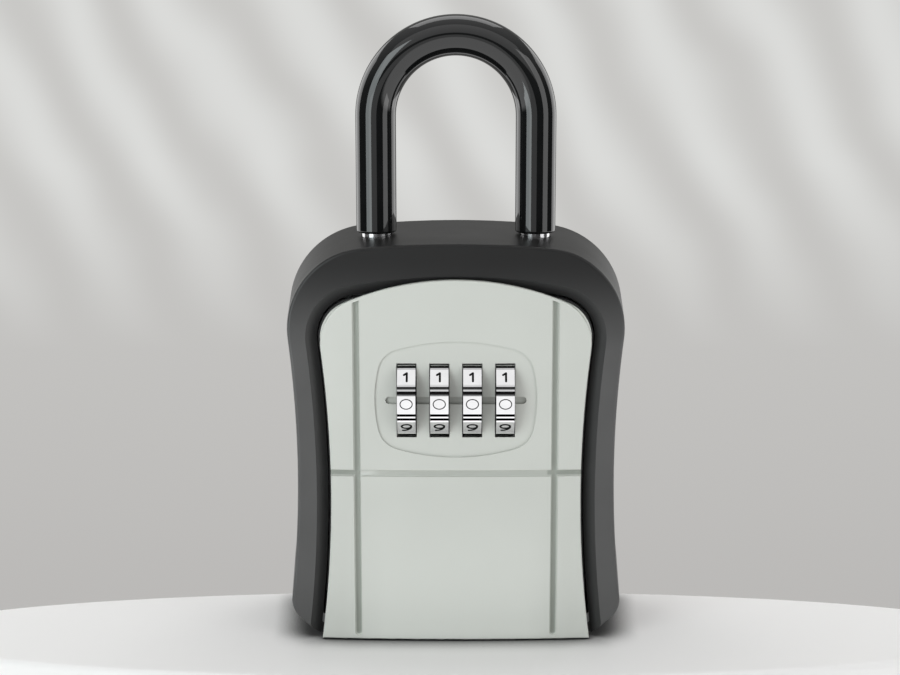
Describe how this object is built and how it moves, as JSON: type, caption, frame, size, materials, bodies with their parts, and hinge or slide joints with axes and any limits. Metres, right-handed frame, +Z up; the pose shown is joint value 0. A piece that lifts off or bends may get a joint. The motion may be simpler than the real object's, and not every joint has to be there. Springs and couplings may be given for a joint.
{
  "type": "combination key safe",
  "caption": "Portable key safe with a U shackle, a drop-down front door, thumb-wheel dials and a sliding latch, all as jointed parts.",
  "frame": {"origin": "middle of the footprint, on the surface that the safe stands on", "axes": "+Z up along the shackle, the door and dials face -Y, +X to the right seen from the front"},
  "size_m": [0.0948, 0.0438, 0.1693],
  "materials": {
    "jacket": "satin dark grey",
    "cast_case": "as cast, bead blasted",
    "steel": "ground",
    "cast_lock": "as cast",
    "plate": "zinc plated",
    "screws": "plated",
    "bush": "moulded",
    "spring": "spring wire",
    "door_paint": "satin light grey",
    "seal": "matt black",
    "brass": "turned",
    "shackle_steel": "polished",
    "sleeve": "glossy black",
    "dial": "satin chrome",
    "digit_ink": "black enamel",
    "code_ring": "moulded acetal, black"
  },
  "bodies": {
    "case": {"outer_jacket": "jacket", "case_shell": "cast_case", "hinge_pins": "steel", "lock_housing": "cast_lock", "lock_cover": "plate", "lock_cover_screws": "screws", "lock_housing_screws": "screws", "leg_bushes": "bush", "door_strike": "plate", "strike_screws": "screws", "lock_plate_spring": "spring"},
    "door": {"door_panel": "door_paint", "door_seal": "seal", "dial_chassis": "cast_lock", "mechanism_cover": "plate", "mechanism_screws": "screws", "detent_spring": "spring", "detent_rivets": "brass", "latch_springs": "spring"},
    "reset_carriage": {"dial_spindle": "steel", "spindle_clip": "spring", "reset_slide": "plate"},
    "latch": {"latch_comb": "steel"},
    "shackle": {"shackle_bar": "shackle_steel", "shackle_sleeve": "sleeve"},
    "shackle_lock": {"shackle_lock_plate": "steel"},
    "dial_1": {"dial_wheel_1": "dial", "dial_digits_1": "digit_ink"},
    "ring_1": {"code_ring_1": "code_ring"},
    "dial_2": {"dial_wheel_2": "dial", "dial_digits_2": "digit_ink"},
    "ring_2": {"code_ring_2": "code_ring"},
    "dial_3": {"dial_wheel_3": "dial", "dial_digits_3": "digit_ink"},
    "ring_3": {"code_ring_3": "code_ring"},
    "dial_4": {"dial_wheel_4": "dial", "dial_digits_4": "digit_ink"},
    "ring_4": {"code_ring_4": "code_ring"}
  },
  "joints": [
    {"name": "door_hinge", "type": "hinge", "parent": "case", "child": "door", "pos_m": [0, -0.00865, 0.005], "axis": [1, 0, 0], "range_deg": [0, 100]},
    {"name": "reset_slide", "type": "slide", "parent": "door", "child": "reset_carriage", "axis": [1, 0, 0], "range_m": [0, 0.0016]},
    {"name": "latch_slide", "type": "slide", "parent": "door", "child": "latch", "axis": [0, 0, 1], "range_m": [0, 0.0023], "stiffness_N_per_m": 600, "deforming": ["latch_springs"]},
    {"name": "shackle_lift", "type": "slide", "parent": "case", "child": "shackle", "axis": [0, 0, 1], "range_m": [0, 0.026]},
    {"name": "lock_plate_slide", "type": "slide", "parent": "case", "child": "shackle_lock", "axis": [1, 0, 0], "range_m": [0, 0.002], "stiffness_N_per_m": 400, "deforming": ["lock_plate_spring"]},
    {"name": "dial_1_turn", "type": "hinge", "parent": "door", "child": "dial_1", "pos_m": [-0.0132, -0.01015, 0.0677], "axis": [1, 0, 0], "continuous": true},
    {"name": "dial_2_turn", "type": "hinge", "parent": "door", "child": "dial_2", "pos_m": [-0.0044, -0.01015, 0.0677], "axis": [1, 0, 0], "continuous": true},
    {"name": "dial_3_turn", "type": "hinge", "parent": "door", "child": "dial_3", "pos_m": [0.0044, -0.01015, 0.0677], "axis": [1, 0, 0], "continuous": true},
    {"name": "dial_4_turn", "type": "hinge", "parent": "door", "child": "dial_4", "pos_m": [0.0132, -0.01015, 0.0677], "axis": [1, 0, 0], "continuous": true},
    {"name": "ring_1_turn", "type": "hinge", "parent": "reset_carriage", "child": "ring_1", "pos_m": [-0.0132, -0.01015, 0.0677], "axis": [1, 0, 0], "continuous": true},
    {"name": "ring_2_turn", "type": "hinge", "parent": "reset_carriage", "child": "ring_2", "pos_m": [-0.0044, -0.01015, 0.0677], "axis": [1, 0, 0], "continuous": true},
    {"name": "ring_3_turn", "type": "hinge", "parent": "reset_carriage", "child": "ring_3", "pos_m": [0.0044, -0.01015, 0.0677], "axis": [1, 0, 0], "continuous": true},
    {"name": "ring_4_turn", "type": "hinge", "parent": "reset_carriage", "child": "ring_4", "pos_m": [0.0132, -0.01015, 0.0677], "axis": [1, 0, 0], "continuous": true}
  ],
  "couplings": [
    {"joint": "ring_1_turn", "follows": "dial_1_turn", "ratio": 1},
    {"joint": "ring_2_turn", "follows": "dial_2_turn", "ratio": 1},
    {"joint": "ring_3_turn", "follows": "dial_3_turn", "ratio": 1},
    {"joint": "ring_4_turn", "follows": "dial_4_turn", "ratio": 1}
  ]
}
